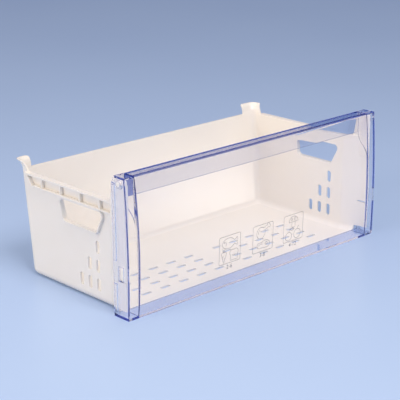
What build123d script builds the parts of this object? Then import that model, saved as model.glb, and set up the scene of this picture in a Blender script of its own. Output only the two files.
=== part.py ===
from build123d import *
import os

# Fridge-freezer compartment drawer: a white moulded tray with a clear front that clips on.
# X runs along the front, Y from the front to the back, Z up. The origin lies under the middle
# of the tray. "Front datum" is the plane of the clear front's top edge.

# ---- the whole drawer ----
front_width = 426.0        # clear front from end to end
front_top = 168.0          # top of the clear front above the shelf it stands on
ground_gap = 0.8           # the clear front hangs this far clear of the shelf
tray_depth = 210.0         # front datum to the back of the tray's rim
rim_height = 133.0         # top of the tray's side and back walls

# ---- tray walls ----
wall = 2.3                 # side and back wall thickness
floor_wall = 2.0           # floor thickness
side_inset_top = 11.0      # side wall's outer face, in from the front's end, at the rim
side_inset_bottom = 12.5   # the same at the floor
back_draft = 13.0          # the back wall leans in by this much down to the floor
corner_radius = 10.0       # upright rear corners
foot_radius = 9.0          # edge between walls and floor
mouth_inset = 4.3          # side wall's outer face behind the end caps
mouth_setback = 3.8        # side wall's front edge behind the datum
mouth_length = 14.0        # straight stretch behind the end cap, from the datum
flare_end = 41.0           # where the wall has swept in to its full inset, from the datum
flare_radius = 14.0        # bends of the flare in plan

# ---- clear front ----
clear_wall = 2.5           # pane, ledges and end cap strips
cap_side_wall = 2.2        # end cap's outer side wall
cap_width = 15.0           # end cap seen from the front
lean = 3.0                 # bottom edge stands this far in front of the top edge
pane_bulge = 5.5           # pane's crown over the straight line from top to bottom
cap_bulge = 2.5            # the same for the end caps' strips
nose_radius = 4.0          # rounded band along the pane's top front edge
ledge_depth = 17.0         # top ledge, front datum to back face of the grip flange
grip_drop = 27.0           # grip flange, from the top
grip_root = 3.2            # grip flange thickness at the ledge
grip_tip = 2.0             # grip flange thickness at its free edge
base_depth = 22.0          # bottom ledge and end cap sides, behind the datum
side_top_depth = 17.5      # end cap's top, behind the datum, before its side falls away
side_top_drop = 9.5        # the side's rear edge starts this far below the top
side_rib = 4.0             # thick rear edge of the end cap's side, along Y
side_rib_wall = 3.6        # its thickness
rib_gap = 6.0              # the thick edge is left out this far above and below the snap catch
web_wall = 2.0             # end cap's inner web that closes the grip
web_depth = 15.0           # the web's deep part, behind the datum
web_foot_drop = 60.0       # the web runs out this far below the top

# ---- how the front hangs on the tray ----
peg_setback = 11.0         # peg axis behind the datum
peg_drop = 9.0             # peg axis below the top of the front
peg_radius = 3.0
peg_clearance = 0.06       # running fit of the peg in the end cap, on the radius
peg_proud = 0.2            # peg end stays this far inside the cap's face
peg_pad_length = 12.0      # thickened pad around the peg hole, inside the end cap
peg_pad_tall = 9.5
peg_pad_wall = 1.2
edge_notch = 2.4           # square notch in the end cap's sloping rear edge, beside the peg
vent_radius = 1.1          # small hole in the end cap's top
post_base = 31.0           # post's rear foot at the rim, behind the datum
post_back = 26.5           # post's rear edge below its sloping top
post_back_drop = 11.0      # that edge starts this far below the top of the front
post_front_drop = 3.2      # post's front edge below the top of the front
post_peak = 12.0           # where the post's top starts to fall away, behind the datum
post_peak_drop = 4.2
post_nose = 3.5            # rounding of the post's front top corner
pad_wall = 1.1             # thickened inside of the post
pad_back = 33.0            # pad outline, behind the datum and in height
pad_back_height = 117.0
pad_knee = 22.0
pad_knee_height = 108.7
pad_front_height = 106.4
catch_setback = 9.0        # snap catch centre behind the datum
catch_height = 54.0        # snap catch centre above the shelf
catch_length = 7.0
catch_tall = 16.0
catch_clearance = 0.3      # nose to the inner face of the end cap
window_gap = 0.7           # window edge around the catch nose
slit_back = 19.0           # slit under the catch tongue, behind the datum
slit_height = 43.0         # underside of the slit
slit_wide = 2.0

# ---- front edge of the floor ----
ledge_gap = 0.6            # floor's front edge behind the bottom ledge
notch_height = 9.0         # side walls' front bottom corners are cut to this height

# ---- guide rails outside the side walls ----
rail_outset = 6.2          # rail's outer edge, in from the front's end
rail_lip = 2.5             # thickness of the upper lip
rail_low_lip = 2.0         # thickness of the lower lip
rail_low = 117.5           # underside of the lower lip
rail_back = 16.0           # upper lip ends this far before the back of the rim
rail_low_back = 27.0       # lower lip ends this far before the back of the rim
rib_wall = 2.0
rib_pitch = 36.0
rib_first = 53.0           # first rib behind the datum
rib_count = 4
rib_recess = 0.6           # ribs stand back from the lips' edge

# ---- raised rear corner tabs ----
tab_height = 13.0
tab_back_leg_right = 21.0  # along the back wall, from the outer corner
tab_back_leg_left = 16.0   # the left tab is narrower
tab_side_leg = 18.5        # along the side wall, at the rim
tab_side_slope = 9.0       # the side leg is this much shorter at the top
tab_flare = 5.0            # the tip leans out this far
tab_round = 3.0            # top corner at the end of the back leg
tab_steps = 4

# ---- hand holes ----
hole_top = 115.3           # heights of the hole's top and bottom edge
hole_bottom = 88.5
hole_top_front = 47.5      # the four corners behind the datum
hole_top_back = 129.0
hole_low_front = 61.5
hole_low_back = 121.5
hole_radius = 5.0
bead_wall = 1.5            # bead around the hole
bead_height = 3.8

# ---- vent slots ----
side_slot_long = 15.5
side_slot_wide = 6.6
side_slot_bevel = 1.8      # corners of the slots
side_slot_front = 64.0     # front column behind the datum
side_slot_low = 22.5       # centre of the lowest row
side_slot_pitch_y = 15.7
side_slot_pitch_z = 23.3
side_slot_columns = 3
floor_slot_long = 15.0
floor_slot_wide = 5.2
floor_slot_bevel = 1.6     # corners of the slots
floor_slot_inset = 68.0    # outermost column, in from the front's end
floor_slot_front = 46.4    # nearest row behind the datum
floor_slot_pitch_x = 30.0
floor_slot_pitch_y = 18.6
floor_slot_columns = 5
floor_slot_rows = 4

# ---- derived places ----
half_width = front_width / 2
front_y = -tray_depth / 2
back_y = front_y + tray_depth
peg_y = front_y + peg_setback
peg_z = front_top - peg_drop
mouth_x = half_width - mouth_inset
cap_inner_x = half_width - cap_side_wall
seam_x = half_width - cap_width
rail_x = half_width - rail_outset
floor_front_y = front_y + base_depth + ledge_gap
ledge_top = ground_gap + clear_wall


def side_at(z):
    """Outer face of the drafted side wall at height z."""
    return half_width - side_inset_bottom + (side_inset_bottom - side_inset_top) * z / rim_height


def back_at(z):
    """Outer face of the leaning back wall at height z."""
    return back_y - back_draft * (1 - z / rim_height)


def tray_plan(z, inset):
    """Plan of the tray at height z, drawn inset from the outer face and open past the mouth."""
    side_x = side_at(z) - inset
    mouth = mouth_x - inset
    back = back_at(z) - inset
    front = front_y + mouth_setback - 2 * wall
    with BuildSketch() as plan:
        with BuildLine():
            half = FilletPolyline(
                (0, front),
                (mouth, front),
                (mouth, front_y + mouth_length),
                (side_x, front_y + flare_end),
                (side_x, back),
                (0, back),
                radius=(0, flare_radius, flare_radius + inset, corner_radius - inset),
            )
            mirror(half, about=Plane.YZ)
        make_face()
    return plan.sketch


def side_outline(points, radii):
    """Closed outline for a side view plane, from points given behind the datum and in height."""
    with BuildSketch() as outline:
        with BuildLine():
            FilletPolyline(
                *[(front_y + setback, height) for setback, height in points],
                radius=radii,
                close=True,
            )
        make_face()
    return outline.sketch


def tab_plan(side, lean_out, shorter):
    """L-shaped plan of a rear corner tab, moved outwards by lean_out and with a shorter side leg."""
    outer_x = side_at(rim_height) + lean_out
    outer_y = back_y + lean_out
    back_leg = (tab_back_leg_left if side < 0 else tab_back_leg_right) + lean_out
    side_leg = tab_side_leg + lean_out - shorter
    with BuildSketch() as plan:
        with BuildLine():
            FilletPolyline(
                (side * (outer_x - back_leg), outer_y),
                (side * outer_x, outer_y),
                (side * outer_x, outer_y - side_leg),
                (side * (outer_x - wall), outer_y - side_leg),
                (side * (outer_x - wall), outer_y - wall),
                (side * (outer_x - back_leg), outer_y - wall),
                radius=(0, corner_radius, 0, 0, corner_radius - wall, 0),
                close=True,
            )
        make_face()
    return plan.sketch


# ================= inside of the tray =================
with BuildPart() as cavity:
    with BuildSketch(Plane.XY.offset(floor_wall)):
        add(tray_plan(floor_wall, wall))
    with BuildSketch(Plane.XY.offset(rim_height)):
        add(tray_plan(rim_height, wall))
    loft(ruled=True)
    low_edges = cavity.faces().sort_by(Axis.Z)[0].edges().filter_by(lambda e: e.center().Y > front_y + wall)
    fillet(low_edges, radius=foot_radius - wall)


# ================= tray =================
with BuildPart() as tray:
    # drafted outer form
    with BuildSketch(Plane.XY):
        add(tray_plan(0, 0))
    with BuildSketch(Plane.XY.offset(rim_height)):
        add(tray_plan(rim_height, 0))
    loft(ruled=True)
    foot_edges = tray.faces().sort_by(Axis.Z)[0].edges().filter_by(lambda e: e.center().Y > front_y + wall)
    fillet(foot_edges, radius=foot_radius)

    # guide rails: upper lip, lower lip, ribs between them and a sloping rear end
    rail_root = side_at(rail_low) - wall / 2
    lip_width = rail_x - rail_root
    rail_start = front_y + mouth_length
    upper_length = back_y - rail_back - rail_start
    lower_length = back_y - rail_low_back - rail_start
    rail_end = rail_start + lower_length
    for side in (-1, 1):
        lip_x = side * (rail_root + lip_width / 2)
        with BuildSketch(Plane.XY.offset(rim_height - rail_lip)):
            with Locations((lip_x, rail_start + upper_length / 2)):
                Rectangle(lip_width, upper_length)
        extrude(amount=rail_lip)
        with BuildSketch(Plane.XY.offset(rail_low)):
            with Locations((lip_x, rail_start + lower_length / 2)):
                Rectangle(lip_width, lower_length)
        extrude(amount=rail_low_lip)
        with BuildSketch(Plane.XY.offset(rail_low)):
            for i in range(rib_count):
                with Locations((lip_x - side * rib_recess / 2, front_y + rib_first + i * rib_pitch)):
                    Rectangle(lip_width - rib_recess, rib_wall)
        extrude(amount=rim_height - rail_low)
        with BuildSketch(Plane.YZ.offset(side * rail_root)):
            with BuildLine():
                Polyline(
                    (rail_end - 2 * rib_wall, rail_low),
                    (rail_end, rail_low),
                    (back_y - rail_back, rim_height),
                    (back_y - rail_back - 2 * rib_wall, rim_height),
                    close=True,
                )
            make_face()
        extrude(amount=side * lip_width)

    # front posts rise behind the end caps and fall away to the back
    post_points = (
        (mouth_setback, rim_height - wall),
        (mouth_setback, front_top - post_front_drop),
        (post_peak, front_top - post_peak_drop),
        (post_back, front_top - post_back_drop),
        (post_base, rim_height),
        (post_base, rim_height - wall),
    )
    post_radii = (0, post_nose, post_nose, post_nose, 0, 0)
    for side in (-1, 1):
        with BuildSketch(Plane.YZ.offset(side * mouth_x)):
            add(side_outline(post_points, post_radii))
        extrude(amount=-side * wall)

    # raised corner tabs curl outwards at the tip
    for side in (-1, 1):
        for i in range(tab_steps + 1):
            rise = i / tab_steps
            with BuildSketch(Plane.XY.offset(rim_height - wall + rise * (tab_height + wall))):
                add(tab_plan(side, tab_flare * rise**3, tab_side_slope * rise))
        loft(ruled=True)
    tab_corners = tray.edges().filter_by(Axis.Y).filter_by(
        lambda e: e.center().Z > rim_height + tab_height - wall / 2
        and abs(e.center().X) < side_at(rim_height) - tab_back_leg_left + wall / 2
    )
    fillet(tab_corners, radius=tab_round)

    # beads around the hand holes, under the rails
    hole_points = (
        (hole_top_front, hole_top),
        (hole_top_back, hole_top),
        (hole_low_back, hole_bottom),
        (hole_low_front, hole_bottom),
    )
    hole_radii = (hole_radius, hole_radius, hole_radius, hole_radius)
    bead_root = side_at(hole_bottom) - wall / 2
    for side in (-1, 1):
        with BuildSketch(Plane.YZ.offset(side * bead_root)):
            add(side_outline(hole_points, hole_radii))
            offset(amount=bead_wall, kind=Kind.ARC)
        extrude(amount=side * (wall / 2 + bead_height))

    # hollow, open front and the cut that clears the clear front's bottom ledge
    add(cavity.part, mode=Mode.SUBTRACT)
    with BuildSketch(Plane.XY):
        with Locations((0, front_y + mouth_setback)):
            Rectangle(front_width, tray_depth, align=(Align.CENTER, Align.MAX))
    extrude(amount=front_top, mode=Mode.SUBTRACT)
    with BuildSketch(Plane.XY):
        with Locations((0, floor_front_y)):
            Rectangle(front_width, base_depth, align=(Align.CENTER, Align.MAX))
    extrude(amount=notch_height, mode=Mode.SUBTRACT)

    # thickened inside of the posts, running down in a soft fold
    pad_points = (
        (mouth_setback, pad_front_height),
        (mouth_setback, front_top - post_front_drop - post_nose),
        (post_back - wall, front_top - post_back_drop - wall),
        (post_base - wall, rim_height),
        (pad_back, pad_back_height),
        (pad_knee, pad_knee_height),
    )
    pad_radii = (0, post_nose, post_nose, 0, post_nose, post_nose)
    for side in (-1, 1):
        with BuildSketch(Plane.YZ.offset(side * (mouth_x - wall / 2))):
            add(side_outline(pad_points, pad_radii))
        extrude(amount=-side * (wall / 2 + pad_wall))

    # pegs that carry the clear front
    for side in (-1, 1):
        with BuildSketch(Plane.YZ.offset(side * mouth_x)):
            with Locations((peg_y, peg_z)):
                Circle(peg_radius)
        extrude(amount=side * (mouth_inset - peg_proud))

    # snap catches with their ramp to the front, and the slit that lets them give
    catch_y = front_y + catch_setback
    nose_x = cap_inner_x - catch_clearance
    with BuildSketch(Plane.XY.offset(catch_height - catch_tall / 2)):
        with BuildLine():
            Polyline(
                (mouth_x - wall / 2, catch_y - catch_length / 2),
                (mouth_x, catch_y - catch_length / 2),
                (nose_x, catch_y + catch_length / 4),
                (nose_x, catch_y + catch_length / 2),
                (mouth_x - wall / 2, catch_y + catch_length / 2),
                close=True,
            )
        make_face()
        mirror(about=Plane.YZ)
    extrude(amount=catch_tall)
    slit_length = slit_back - mouth_setback
    with BuildSketch(Plane.XY.offset(slit_height)):
        with Locations((0, front_y + mouth_setback + slit_length / 2)):
            Rectangle(front_width, slit_length)
    extrude(amount=slit_wide, mode=Mode.SUBTRACT)

    # hand holes
    for side in (-1, 1):
        with BuildSketch(Plane.YZ.offset(side * (bead_root - wall))):
            add(side_outline(hole_points, hole_radii))
        extrude(amount=side * (2 * wall + bead_height), mode=Mode.SUBTRACT)

    # vent slots in the side walls, one fewer in each column towards the back
    slot_centres = [
        (front_y + side_slot_front + i * side_slot_pitch_y, side_slot_low + j * side_slot_pitch_z)
        for i in range(side_slot_columns)
        for j in range(side_slot_columns - i)
    ]
    with BuildSketch(Plane.YZ) as slots:
        with Locations(*slot_centres):
            Rectangle(side_slot_wide, side_slot_long)
        chamfer(slots.vertices(), length=side_slot_bevel)
    extrude(amount=half_width, both=True, mode=Mode.SUBTRACT)

    # vent slots in the floor, two mirrored groups
    group_x = half_width - floor_slot_inset - (floor_slot_columns - 1) * floor_slot_pitch_x / 2
    group_y = front_y + floor_slot_front + (floor_slot_rows - 1) * floor_slot_pitch_y / 2
    with BuildSketch(Plane.XY) as group_plan:
        with Locations((-group_x, group_y), (group_x, group_y)):
            with GridLocations(floor_slot_pitch_x, floor_slot_pitch_y, floor_slot_columns, floor_slot_rows):
                Rectangle(floor_slot_long, floor_slot_wide)
        chamfer(group_plan.vertices(), length=floor_slot_bevel)
    extrude(amount=floor_wall, mode=Mode.SUBTRACT)

tray.part.label = "tray"


def front_arc(bulge, shift, low_z, high_z):
    """Points (low, middle, high) of the crowned front between two heights, moved back by shift."""

    def front_at(z):
        up = (z - ground_gap) / (front_top - ground_gap)
        return front_y - lean * (1 - up) - 4 * bulge * up * (1 - up) + shift

    mid_z = (low_z + high_z) / 2
    return (front_at(low_z), low_z), (front_at(mid_z), mid_z), (front_at(high_z), high_z)


# ================= clear pane =================
with BuildPart() as front_pane:
    outer_low, outer_mid, outer_high = front_arc(pane_bulge, 0, ground_gap, front_top)
    inner_low, inner_mid, inner_high = front_arc(pane_bulge, clear_wall, ledge_top, front_top - clear_wall)
    grip_y = front_y + ledge_depth
    base_y = front_y + base_depth
    with BuildSketch(Plane.YZ.offset(-seam_x)):
        with BuildLine():
            ThreePointArc(outer_low, outer_mid, outer_high)
            Polyline(
                outer_high,
                (grip_y, front_top),
                (grip_y, front_top - grip_drop),
                (grip_y - grip_tip, front_top - grip_drop),
                (grip_y - grip_root, front_top - clear_wall),
                inner_high,
            )
            ThreePointArc(inner_high, inner_mid, inner_low)
            Polyline(inner_low, (base_y, ledge_top), (base_y, ground_gap), outer_low)
        make_face()
    extrude(amount=2 * seam_x)
    nose_edge = front_pane.edges().filter_by(Axis.X).filter_by(
        lambda e: abs(e.center().Z - front_top) < clear_wall / 10 and e.center().Y < front_y + clear_wall
    )
    fillet(nose_edge, radius=nose_radius)

front_pane.part.label = "front_pane"


def end_cap(side):
    """Clear end piece; side is -1 on the left and 1 on the right."""
    end_x = side * half_width
    strip_low, strip_mid, strip_high = front_arc(cap_bulge, 0, ground_gap, front_top)
    back_low, back_mid, back_high = front_arc(cap_bulge, clear_wall, ledge_top, front_top - clear_wall)
    base_y = front_y + base_depth
    top_y = front_y + side_top_depth
    with BuildPart() as cap:
        # outer side wall in the full silhouette, thicker along its rear edge
        with BuildSketch(Plane.YZ.offset(end_x)):
            with BuildLine():
                ThreePointArc(strip_low, strip_mid, strip_high)
                Polyline(
                    strip_high,
                    (top_y, front_top),
                    (base_y, front_top - side_top_drop),
                    (base_y, ground_gap),
                    strip_low,
                )
            make_face()
        extrude(amount=-side * cap_side_wall)
        with BuildSketch(Plane.YZ.offset(end_x)):
            with Locations((base_y, ground_gap)):
                Rectangle(side_rib, front_top - side_top_drop - ground_gap, align=(Align.MAX, Align.MIN))
            with Locations((base_y, catch_height)):
                Rectangle(side_rib, catch_tall + 2 * rib_gap, align=(Align.MAX, Align.CENTER), mode=Mode.SUBTRACT)
        extrude(amount=-side * side_rib_wall)

        # front strip with top and bottom plates
        with BuildSketch(Plane.YZ.offset(end_x)):
            with BuildLine():
                ThreePointArc(strip_low, strip_mid, strip_high)
                Polyline(strip_high, (top_y, front_top), (top_y, front_top - clear_wall), back_high)
                ThreePointArc(back_high, back_mid, back_low)
                Polyline(back_low, (base_y, ledge_top), (base_y, ground_gap), strip_low)
            make_face()
        extrude(amount=-side * cap_width)

        # inner web closes the end of the grip and runs out on the strip in an S-curve
        web_y = front_y + web_depth
        web_z = front_top - grip_drop
        web_head_z = front_top - clear_wall / 2
        web_foot_z = front_top - web_foot_drop
        root_low, root_mid, root_high = front_arc(cap_bulge, clear_wall / 2, web_foot_z, web_head_z)
        foot = front_arc(cap_bulge, clear_wall, web_foot_z, web_head_z)[0]
        turn = ((web_y + foot[0]) / 2, (web_z + foot[1]) / 2)
        with BuildSketch(Plane.YZ.offset(side * seam_x)):
            with BuildLine():
                Polyline(root_high, (web_y, web_head_z), (web_y, web_z))
                upper_bend = TangentArc((web_y, web_z), turn, tangent=(0, -1))
                TangentArc(turn, foot, tangent=upper_bend % 1)
                Line(foot, root_low)
                ThreePointArc(root_low, root_mid, root_high)
            make_face()
        extrude(amount=side * web_wall)

        # pad, peg hole and catch window
        with BuildSketch(Plane.YZ.offset(side * cap_inner_x)):
            with Locations((peg_y, peg_z)):
                RectangleRounded(peg_pad_length, peg_pad_tall, peg_radius)
        extrude(amount=-side * peg_pad_wall)
        with BuildSketch(Plane.YZ.offset(end_x)):
            with Locations((peg_y, peg_z)):
                Circle(peg_radius + peg_clearance)
            with Locations((front_y + catch_setback, catch_height)):
                Rectangle(catch_length + 2 * window_gap, catch_tall + 2 * window_gap)
            with Locations(((top_y + base_y) / 2, front_top - side_top_drop)):
                Rectangle(edge_notch, edge_notch)
        extrude(amount=-side * (cap_side_wall + peg_pad_wall), mode=Mode.SUBTRACT)
        with BuildSketch(Plane.XY.offset(front_top)):
            with Locations((side * (half_width - cap_width / 2), top_y - 2 * vent_radius)):
                Circle(vent_radius)
        extrude(amount=-clear_wall, mode=Mode.SUBTRACT)
    return cap.part


# ================= end caps =================
left_end_cap = end_cap(-1)
left_end_cap.label = "left_end_cap"
right_end_cap = end_cap(1)
right_end_cap.label = "right_end_cap"

os.makedirs("parts", exist_ok=True)
export_step(tray.part, "parts/tray.step")
export_step(front_pane.part, "parts/front_pane.step")
export_step(left_end_cap, "parts/left_end_cap.step")
export_step(right_end_cap, "parts/right_end_cap.step")
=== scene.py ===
import math
import bpy
from mathutils import Matrix, Vector
from mathutils.bvhtree import BVHTree


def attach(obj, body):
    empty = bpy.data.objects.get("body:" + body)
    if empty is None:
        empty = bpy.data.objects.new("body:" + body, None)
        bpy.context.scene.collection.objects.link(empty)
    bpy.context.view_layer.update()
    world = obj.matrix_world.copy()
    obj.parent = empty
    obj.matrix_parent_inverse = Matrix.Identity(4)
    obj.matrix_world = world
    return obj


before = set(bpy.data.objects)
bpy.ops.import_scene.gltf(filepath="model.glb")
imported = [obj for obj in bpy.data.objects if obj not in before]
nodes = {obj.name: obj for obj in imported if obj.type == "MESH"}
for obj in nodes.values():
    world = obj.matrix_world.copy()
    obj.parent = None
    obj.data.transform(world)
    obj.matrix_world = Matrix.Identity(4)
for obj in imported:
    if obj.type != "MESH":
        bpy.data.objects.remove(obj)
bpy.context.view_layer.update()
scene = bpy.context.scene
millimetre = 0.001
bevelSamples = 6
firstColor, secondColor, mixedColor = 6, 7, 2   # colour sockets of a Mix node, two in and one out


def srgb(hexColor):
    channels = [int(hexColor[i:i + 2], 16) / 255 for i in (1, 3, 5)]
    linear = [c / 12.92 if c <= 0.04045 else ((c + 0.055) / 1.055) ** 2.4 for c in channels]
    return (*linear, 1.0)


def noiseScale(size):
    # scale of a noise whose patches are about this many millimetres across
    return 1 / (size * millimetre)


def newMaterial(name):
    material = bpy.data.materials.new(name)
    material.use_nodes = True
    tree = material.node_tree
    tree.nodes.clear()
    return material, tree


def addNode(tree, kind, settings=None, links=None):
    # settings: attribute, input name or input number -> value; links: input -> output socket
    node = tree.nodes.new(kind)
    for key, value in (settings or {}).items():
        if isinstance(key, int) or key in node.inputs:
            node.inputs[key].default_value = value
        else:
            setattr(node, key, value)
    for key, socket in (links or {}).items():
        tree.links.new(socket, node.inputs[key])
    return node


def meshObject(name, vertices, faces, material, body):
    mesh = bpy.data.meshes.new(name)
    mesh.from_pydata(vertices, [], faces)
    mesh.update()
    obj = bpy.data.objects.new(name, mesh)
    scene.collection.objects.link(obj)
    obj.data.materials.append(material)
    if body:
        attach(obj, body)
    return obj


trayLook = {
    "color": "#F3EEE8",
    "shade": "#EBE5DD",                # where the melt has cooled a little darker
    "shadeSize": 111.11,               # mm, how wide those places are
    "roughness": (0.2, 0.27),
    "sheenSize": 28.571,               # mm, patches that are more or less glossy
    "wave": 22.0,                      # mm, slow unevenness that bends the highlights
    "waveHeight": 0.08,                # mm
    "waveStrength": 0.35,
    "mouldGrain": 0.35,                # mm, drawn coarser than the mould's real skin so that it shows close up
    "grainHeight": 0.006,              # mm
    "grainStrength": 0.06,
    "edgeRadius": 0.5,                 # mm
    "refraction": 1.55,
    "softness": 0.12,                  # share of the light that goes into the white plastic
    "depth": 1.6,                      # mm, how far it travels there
    "depthByColor": (1.0, 0.85, 0.7),  # shares of that depth for red, green and blue
}


def whitePolystyrene():
    # high impact polystyrene, injection moulded: even warm white, soft wide highlights
    look = trayLook
    material, tree = newMaterial("white polystyrene, injection moulded")
    place = addNode(tree, "ShaderNodeTexCoord").outputs["Object"]
    flow = addNode(tree, "ShaderNodeTexNoise",
                   {"Scale": noiseScale(look["shadeSize"]), "Detail": 3.0, "Distortion": 0.6},
                   {"Vector": place})
    tone = addNode(tree, "ShaderNodeMix",
                   {"data_type": "RGBA", firstColor: srgb(look["color"]), secondColor: srgb(look["shade"])},
                   {"Factor": flow.outputs["Fac"]})
    cloud = addNode(tree, "ShaderNodeTexNoise",
                    {"Scale": noiseScale(look["sheenSize"]), "Detail": 4.0}, {"Vector": place})
    sheen = addNode(tree, "ShaderNodeMapRange",
                    {"To Min": look["roughness"][0], "To Max": look["roughness"][1]},
                    {"Value": cloud.outputs["Fac"]})
    rounded = addNode(tree, "ShaderNodeBevel",
                      {"Radius": look["edgeRadius"] * millimetre, "samples": bevelSamples})
    wave = addNode(tree, "ShaderNodeTexNoise",
                   {"Scale": noiseScale(look["wave"]), "Detail": 1.0}, {"Vector": place})
    slow = addNode(tree, "ShaderNodeBump",
                   {"Strength": look["waveStrength"], "Distance": look["waveHeight"] * millimetre},
                   {"Height": wave.outputs["Fac"], "Normal": rounded.outputs["Normal"]})
    grain = addNode(tree, "ShaderNodeTexNoise",
                    {"Scale": noiseScale(look["mouldGrain"]), "Detail": 2.0}, {"Vector": place})
    fine = addNode(tree, "ShaderNodeBump",
                   {"Strength": look["grainStrength"], "Distance": look["grainHeight"] * millimetre},
                   {"Height": grain.outputs["Fac"], "Normal": slow.outputs["Normal"]})
    shader = addNode(tree, "ShaderNodeBsdfPrincipled",
                     {"IOR": look["refraction"], "Subsurface Weight": look["softness"],
                      "Subsurface Scale": look["depth"] * millimetre,
                      "Subsurface Radius": look["depthByColor"]},
                     {"Base Color": tone.outputs[mixedColor], "Roughness": sheen.outputs["Result"],
                      "Normal": fine.outputs["Normal"]})
    addNode(tree, "ShaderNodeOutputMaterial", {}, {"Surface": shader.outputs["BSDF"]})
    return material


clearLook = {
    "tint": "#FEFEFF",
    "inside": "#95A6F1",           # what is left of white light after a long way through
    "density": 9.0,                # per metre
    "roughness": (0.012, 0.05),
    "smearSize": 35.714,           # mm, patches of faint haze
    "smearFrom": 0.45,             # level of the noise where the haze begins
    "wave": 45.0,                  # mm, slow unevenness of the polished mould
    "waveHeight": 0.1,             # mm
    "waveStrength": 0.3,
    "edgeRadius": 0.45,            # mm
    "refraction": 1.59,
    "turns": 4.5,                  # light that has met more surfaces than this leaves straight on
    "trappedPaintedTint": "#7A89D4",          # with this tint: painted shade and painted blue reflection, standing in for its long way through the edges, where many inner reflections would darken it and mirror the blue walls
    "letThrough": "#FCFCFF",       # tint of shadows and of light that has been scattered
}


def clearPolystyrene():
    # general purpose polystyrene from a polished mould: glass clear, lavender to blue in its edges
    look = clearLook
    material, tree = newMaterial("clear polystyrene, polished mould")
    place = addNode(tree, "ShaderNodeTexCoord").outputs["Object"]
    smear = addNode(tree, "ShaderNodeTexNoise",
                    {"Scale": noiseScale(look["smearSize"]), "Detail": 5.0}, {"Vector": place})
    haze = addNode(tree, "ShaderNodeMapRange",
                   {"From Min": look["smearFrom"],
                    "To Min": look["roughness"][0], "To Max": look["roughness"][1]},
                   {"Value": smear.outputs["Fac"]})
    rounded = addNode(tree, "ShaderNodeBevel",
                      {"Radius": look["edgeRadius"] * millimetre, "samples": bevelSamples})
    wave = addNode(tree, "ShaderNodeTexNoise",
                   {"Scale": noiseScale(look["wave"]), "Detail": 0.0}, {"Vector": place})
    slow = addNode(tree, "ShaderNodeBump",
                   {"Strength": look["waveStrength"], "Distance": look["waveHeight"] * millimetre},
                   {"Height": wave.outputs["Fac"], "Normal": rounded.outputs["Normal"]})
    shader = addNode(tree, "ShaderNodeBsdfPrincipled",
                     {"Base Color": srgb(look["tint"]), "IOR": look["refraction"], "Transmission Weight": 1.0},
                     {"Roughness": haze.outputs["Result"], "Normal": slow.outputs["Normal"]})
    path = addNode(tree, "ShaderNodeLightPath").outputs
    turned = addNode(tree, "ShaderNodeMath", {"operation": "GREATER_THAN", 1: look["turns"]},
                     {0: path["Ray Depth"]})
    # painted shade and painted blue reflection: light cut off after many turns inside the clear edges goes
    # straight on, darkened and tinted blue
    trappedPaintedTint = addNode(tree, "ShaderNodeBsdfTransparent", {"Color": srgb(look["trappedPaintedTint"])})
    edges = addNode(tree, "ShaderNodeMixShader", {},
                    {"Fac": turned.outputs["Value"], 1: shader.outputs["BSDF"], 2: trappedPaintedTint.outputs["BSDF"]})
    letThrough = addNode(tree, "ShaderNodeBsdfTransparent", {"Color": srgb(look["letThrough"])})
    # shadows, and light that has already been scattered, go through as through thin air
    scattered = addNode(tree, "ShaderNodeMath", {"operation": "MAXIMUM", "use_clamp": True},
                        {0: path["Is Shadow Ray"], 1: path["Diffuse Depth"]})
    mixed = addNode(tree, "ShaderNodeMixShader", {},
                    {"Fac": scattered.outputs["Value"], 1: edges.outputs["Shader"],
                     2: letThrough.outputs["BSDF"]})
    inside = addNode(tree, "ShaderNodeVolumeAbsorption",
                     {"Color": srgb(look["inside"]), "Density": look["density"]})
    addNode(tree, "ShaderNodeOutputMaterial", {},
            {"Surface": mixed.outputs["Shader"], "Volume": inside.outputs["Volume"]})
    return material


def dress(node, material):
    obj = nodes[node]
    obj.data.materials.clear()
    obj.data.materials.append(material)


white = whitePolystyrene()
clear = clearPolystyrene()
dress("tray", white)
for name in ("front_pane", "left_end_cap", "right_end_cap"):
    dress(name, clear)
print("materials on the CAD nodes")


printLook = {
    "color": "#6C6B72",
    "thin": "#A3A2A8",              # where the ink covers less
    "coverSize": 0.7143,            # mm, drawn coarser than the pad's real speckle
    "roughness": (0.45, 0.7),
    "line": 0.52,                   # mm, width of a stroke
    "step": 1.2,                    # mm between points along a stroke
    "arcSteps": 6,                  # fewest steps in an arc
    "meets": 0.01,                  # mm, ends nearer than this close a stroke
    "lift": 0.02,                   # mm, thickness of the ink
    "iconScale": 1.22,
    "centres": (-57.5, -1, 53.5),   # mm from the middle of the pane
    "height": 49,                   # mm above the shelf, middle of the frames
    "frame": (35, 35, 2.2),         # mm, width, height and corner radius
    "numbers": ("2-6", "3-8", "4-12"),
    "numberDrop": 22.5,             # mm from the middle of a frame down to the numbers
    "numberSize": 7.5,              # mm
    "numberSteps": 4,               # steps in each curve of a numeral
}


def padPrintedInk():
    # pad printed grey ink: matt on the polished pane, a little uneven in cover
    look = printLook
    material, tree = newMaterial("grey ink, pad printed")
    place = addNode(tree, "ShaderNodeTexCoord").outputs["Object"]
    cover = addNode(tree, "ShaderNodeTexNoise",
                    {"Scale": noiseScale(look["coverSize"]), "Detail": 2.0}, {"Vector": place})
    sheen = addNode(tree, "ShaderNodeMapRange",
                    {"To Min": look["roughness"][0], "To Max": look["roughness"][1]},
                    {"Value": cover.outputs["Fac"]})
    tone = addNode(tree, "ShaderNodeMix",
                   {"data_type": "RGBA", firstColor: srgb(look["color"]), secondColor: srgb(look["thin"])},
                   {"Factor": cover.outputs["Fac"]})
    shader = addNode(tree, "ShaderNodeBsdfPrincipled", {},
                     {"Base Color": tone.outputs[mixedColor], "Roughness": sheen.outputs["Result"]})
    addNode(tree, "ShaderNodeOutputMaterial", {}, {"Surface": shader.outputs["BSDF"]})
    return material


def paneSurface():
    pane = nodes["front_pane"]
    corners = [v.co.copy() for v in pane.data.vertices]
    faces = [tuple(p.vertices) for p in pane.data.polygons]
    return BVHTree.FromPolygons(corners, faces)


paneTree = paneSurface()


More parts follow.
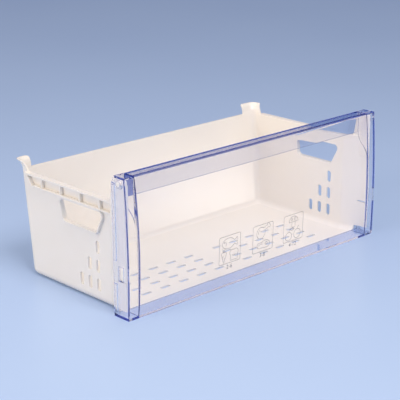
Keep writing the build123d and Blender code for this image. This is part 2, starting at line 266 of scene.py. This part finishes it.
def onPane(x, z):
    # point on the outside of the pane, in metres, from millimetres across and up
    inFront = Vector((x * millimetre, -1, z * millimetre))
    hit = paneTree.ray_cast(inFront, Vector((0, 1, 0)))[0]
    return hit - Vector((0, printLook["lift"] * millimetre, 0))


def arc(cx, cz, radius, start, end, squeeze=1.0):
    # points of an arc in degrees, counted from the right and up; squeeze flattens it
    steps = max(printLook["arcSteps"], int(abs(math.radians(end - start)) * radius / printLook["step"]))
    angles = [math.radians(start + (end - start) * i / steps) for i in range(steps + 1)]
    return [(cx + radius * math.cos(a), cz + radius * squeeze * math.sin(a)) for a in angles]


def straight(*points):
    path = [points[0]]
    for (x0, z0), (x1, z1) in zip(points, points[1:]):
        steps = max(1, round(math.hypot(x1 - x0, z1 - z0) / printLook["step"]))
        path += [(x0 + (x1 - x0) * i / steps, z0 + (z1 - z0) * i / steps) for i in range(1, steps + 1)]
    return path


def roundedFrame(width, height, radius):
    w, h = width / 2 - radius, height / 2 - radius
    path = arc(w, h, radius, 0, 90) + arc(-w, h, radius, 90, 180)
    path += arc(-w, -h, radius, 180, 270) + arc(w, -h, radius, 270, 360)
    return straight(*path, path[0])


def stroke(path, x, z, vertices, faces):
    # flat ribbon along a path, laid on the pane around the place (x, z)
    half = printLook["line"] / 2
    last = len(path) - 1
    closed = math.dist(path[0], path[-1]) < printLook["meets"]
    first = len(vertices)
    for i, (px, pz) in enumerate(path):
        ax, az = path[i - 1] if i else path[last - 1 if closed else 0]
        bx, bz = path[i + 1] if i < last else path[1 if closed else last]
        length = math.hypot(bx - ax, bz - az) or 1
        nx, nz = -(bz - az) / length * half, (bx - ax) / length * half
        vertices += [onPane(x + px + nx, z + pz + nz), onPane(x + px - nx, z + pz - nz)]
    for i in range(last):
        a = first + 2 * i
        faces.append((a, a + 1, a + 3, a + 2))


# the icons are strokes in millimetres from the middle of their frame, before iconScale

def fishIcon():
    body = arc(-2.0, 6.4, 8.4, 18, 342, 0.64)
    tail = straight(body[-1], (10.6, 2.0), (9.4, 6.4), (10.6, 10.8), body[0])
    gill = arc(-8.6, 6.4, 3.6, -42, 42)
    eye = arc(-7.6, 8.0, 0.7, 0, 360)
    return [body, tail, gill, eye]


def carrotIcon():
    root = straight((-11.5, -3.5), (-8, -13.5), (-4.5, -3.5)) + arc(-8, -3.5, 3.5, 0, 180, 0.6)
    rings = [straight((-10.6, -6.2), (-8.2, -6.2)), straight((-6.2, -8.6), (-8.0, -8.6))]
    leaves = [arc(-10.2, -0.6, 2.2, -60, 100), arc(-5.8, -0.6, 2.2, 240, 80)]
    return [straight(*root, root[0]), *rings, *leaves]


def loafIcon():
    top = arc(3.2, -4.6, 3.4, 200, 60) + arc(8.2, -4.6, 3.4, 120, -20)
    loaf = straight((10.6, -6.0), (10.6, -12.4), (1.0, -12.4), (1.0, -5.9))
    cuts = [straight((3.6, -8), (4.8, -6.4)), straight((6.2, -8), (7.4, -6.4))]
    return [straight(*top, *loaf), *cuts]


def drumstickIcon():
    meat = straight(*arc(-3.0, 5.6, 6.0, 52, 385))
    bone = [straight((0.7, 10.3), (6.6, 12.9)), straight((2.4, 7.9), (8.0, 10.2))]
    knob = straight(*arc(7.6, 13.2, 1.4, 190, 0), *arc(9.2, 10.9, 1.5, 100, -150))
    shine = arc(-3.0, 5.6, 3.8, 110, 190)
    return [meat, *bone, knob, shine]


def steakIcon():
    outline = arc(3.4, -7.6, 6.8, -60, 140, 0.62) + arc(-3.8, -7.6, 4.4, 120, 290, 0.75)
    bone = arc(5.0, -6.8, 1.6, 0, 360)
    grain = arc(-2.4, -8.6, 4.2, 60, 150, 0.5)
    return [straight(*outline, outline[0]), bone, grain]


def mushroomIcon():
    cap = straight(*arc(0, 6.4, 6.8, 0, 180, 0.85), (6.8, 6.4))
    foot = arc(0, 1.6, 2.5, 180, 360, 0.5)
    stem = straight((-2.2, 6.4), (-2.5, 1.6)) + foot + straight((2.5, 1.6), (2.2, 6.4))
    spots = [arc(-2.6, 9.0, 1.1, 0, 360), arc(2.2, 9.6, 1.4, 0, 360)]
    return [cap, stem, *spots]


def fruitIcon():
    fruits = [arc(-6.6, -8.6, 4.6, 0, 360), arc(6.0, -7.6, 5.0, 0, 360)]
    stalks = [arc(-3.4, -4.0, 3.2, 180, 90), arc(9.0, -2.6, 3.0, 180, 100)]
    leaf = straight(*arc(-1.6, -1.4, 2.6, 200, 20, 0.5), *arc(-1.6, -1.4, 2.6, 20, -160, 0.5))
    return [*fruits, *stalks, leaf]


def numberMesh(text):
    # flat numerals in millimetres around their own middle
    curve = bpy.data.curves.new("number", "FONT")
    curve.body = text
    curve.size = printLook["numberSize"]
    curve.align_x = "CENTER"
    curve.align_y = "CENTER"
    curve.resolution_u = printLook["numberSteps"]
    holder = bpy.data.objects.new("number", curve)
    scene.collection.objects.link(holder)
    bpy.context.view_layer.update()
    mesh = bpy.data.meshes.new_from_object(holder)
    corners = [(v.co.x, v.co.y) for v in mesh.vertices]
    faces = [tuple(p.vertices) for p in mesh.polygons]
    bpy.data.objects.remove(holder)
    bpy.data.meshes.remove(mesh)
    return corners, faces


def storageGuide():
    look = printLook
    ink = padPrintedInk()
    pictures = (
        fishIcon() + carrotIcon() + loafIcon(),
        drumstickIcon() + steakIcon(),
        mushroomIcon() + fruitIcon(),
    )
    for i, (x, icons, number) in enumerate(zip(look["centres"], pictures, look["numbers"])):
        vertices, faces = [], []
        stroke(roundedFrame(*look["frame"]), x, look["height"], vertices, faces)
        for path in icons:
            larger = [(look["iconScale"] * px, look["iconScale"] * pz) for px, pz in path]
            stroke(larger, x, look["height"], vertices, faces)
        corners, outline = numberMesh(number)
        first = len(vertices)
        vertices += [onPane(x + cx, look["height"] - look["numberDrop"] + cz) for cx, cz in corners]
        faces += [tuple(first + c for c in face) for face in outline]
        piece = meshObject(f"storage_guide_{i + 1}", vertices, faces, ink, "front")


storageGuide()
print("print on the pane")


floorLook = {
    "color": "#ADC3E7",
    "size": 40.0,              # metres
    "roughness": (0.3, 0.39),
    "sheenSize": 333.33,       # mm, patches that are more or less glossy
    "refraction": 1.25,        # low, so that the board mirrors only a little
}


def paleFloor():
    # satin painted board: even and pale, with a soft reflection at the foot of the drawer
    look = floorLook
    material, tree = newMaterial("pale board, satin painted")
    place = addNode(tree, "ShaderNodeTexCoord").outputs["Object"]
    cloud = addNode(tree, "ShaderNodeTexNoise",
                    {"Scale": noiseScale(look["sheenSize"]), "Detail": 4.0}, {"Vector": place})
    sheen = addNode(tree, "ShaderNodeMapRange",
                    {"To Min": look["roughness"][0], "To Max": look["roughness"][1]},
                    {"Value": cloud.outputs["Fac"]})
    shader = addNode(tree, "ShaderNodeBsdfPrincipled",
                     {"Base Color": srgb(look["color"]), "IOR": look["refraction"]},
                     {"Roughness": sheen.outputs["Result"]})
    addNode(tree, "ShaderNodeOutputMaterial", {}, {"Surface": shader.outputs["BSDF"]})
    half = look["size"] / 2
    corners = [(-half, -half, 0), (half, -half, 0), (half, half, 0), (-half, half, 0)]
    floor = meshObject("floor", corners, [(0, 1, 2, 3)], material, None)


paleFloor()
print("floor")


lightPlan = {
    # places, aims and sizes in metres, power in watts
    "key": {"place": (-0.35, -1.15, 1.65), "aim": (0, 0, 0.08), "size": (0.9, 0.9),
            "power": 22.0, "color": "#FFF7F0", "trayOnly": False},
    "side": {"place": (-1.7, 0.35, 0.8), "aim": (0, 0, 0.08), "size": (0.9, 0.9),
             "power": 12.5, "color": "#FFF0DF", "trayOnly": False},
    "top": {"place": (0.2, 0.4, 1.7), "aim": (0, 0, 0.05), "size": (1.1, 1.1),
            "power": 3.0, "color": "#FFFCF8", "trayOnly": False},
    # below the floor's level, where its mirror image in the back wall needs it
    "streak": {"place": (0.86, -0.8, -0.165), "aim": (0.077, 0.093, 0.035), "size": (0.3, 0.085),
               "power": 1.0, "color": "#FFF8EE", "trayOnly": True},
}


def linkedTo(name, node):
    group = bpy.data.collections.new(name)
    group.objects.link(nodes[node])
    return group


def softLights():
    for name, plan in lightPlan.items():
        lamp = bpy.data.lights.new(name, "AREA")
        lamp.shape = "RECTANGLE"
        lamp.size, lamp.size_y = plan["size"]
        lamp.energy = plan["power"]
        lamp.color = srgb(plan["color"])[:3]
        obj = bpy.data.objects.new(name, lamp)
        obj.location = plan["place"]
        toAim = Vector(plan["aim"]) - Vector(plan["place"])
        obj.rotation_euler = toAim.to_track_quat("-Z", "Y").to_euler()
        obj.visible_camera = False
        scene.collection.objects.link(obj)
        if plan["trayOnly"]:
            # only the tray's gloss takes this light, and only the pane stands in its way
            obj.visible_diffuse = False
            obj.light_linking.receiver_collection = linkedTo("mirrors " + name, "tray")
            obj.light_linking.blocker_collection = linkedTo("in front of " + name, "front_pane")


worldLook = {
    "ambient": "#F2EEE9",       # even light from all around, which softens the shadows
    "ambientStrength": 0.66,
    "ceiling": "#F4F6FA",
    "walls": "#20479F",         # blue studio walls, seen only in reflections and through the clear plastic
    "roomStrength": 0.9,
    "wallTop": 0.45,            # height in the sky, from 0 at the horizon to 1 overhead,
    "ceilingFrom": 0.8,         # between which the walls turn into the ceiling
}


def studioWorld():
    look = worldLook
    world = bpy.data.worlds.new("studio")
    scene.world = world
    world.use_nodes = True
    tree = world.node_tree
    tree.nodes.clear()
    direction = addNode(tree, "ShaderNodeTexCoord").outputs["Generated"]
    parts = addNode(tree, "ShaderNodeSeparateXYZ", {}, {"Vector": direction})
    height = addNode(tree, "ShaderNodeMapRange",
                     {"From Min": look["wallTop"], "From Max": look["ceilingFrom"]},
                     {"Value": parts.outputs["Z"]})
    around = addNode(tree, "ShaderNodeMix",
                     {"data_type": "RGBA", firstColor: srgb(look["walls"]), secondColor: srgb(look["ceiling"])},
                     {"Factor": height.outputs["Result"]})
    path = addNode(tree, "ShaderNodeLightPath").outputs
    mirrorOrClear = addNode(tree, "ShaderNodeMath", {"operation": "MAXIMUM"},
                            {0: path["Is Glossy Ray"], 1: path["Is Transmission Ray"]})
    even = addNode(tree, "ShaderNodeBackground",
                   {"Color": srgb(look["ambient"]), "Strength": look["ambientStrength"]})
    room = addNode(tree, "ShaderNodeBackground", {"Strength": look["roomStrength"]},
                   {"Color": around.outputs[mixedColor]})
    mixed = addNode(tree, "ShaderNodeMixShader", {},
                    {"Fac": mirrorOrClear.outputs["Value"], 1: even.outputs["Background"],
                     2: room.outputs["Background"]})
    addNode(tree, "ShaderNodeOutputWorld", {}, {"Surface": mixed.outputs["Shader"]})


softLights()
studioWorld()
scene.view_settings.view_transform = "Standard"
print("lights and world")


cameraPlan = {
    "place": (-1.0517, -1.1164, 0.5703),   # metres
    "yaw": 43.27,                          # degrees, from straight at the front towards the right
    "pitch": 18.03,                        # degrees down
    "roll": -0.352,                        # degrees
    "lens": 113.97,                        # mm
    "sensor": 36,                          # mm
    "nearest": 0.05,                       # metres, nothing closer is drawn
}


def photoCamera():
    plan = cameraPlan
    lens = bpy.data.cameras.new("camera")
    lens.lens = plan["lens"]
    lens.sensor_width = plan["sensor"]
    lens.clip_start = plan["nearest"]
    camera = bpy.data.objects.new("camera", lens)
    turn = Matrix.Rotation(math.radians(-plan["yaw"]), 4, "Z")
    tilt = Matrix.Rotation(math.radians(90 - plan["pitch"]), 4, "X")
    roll = Matrix.Rotation(math.radians(plan["roll"]), 4, "Z")
    camera.matrix_world = Matrix.Translation(plan["place"]) @ turn @ tilt @ roll
    scene.collection.objects.link(camera)
    scene.camera = camera


photoCamera()
print("camera")
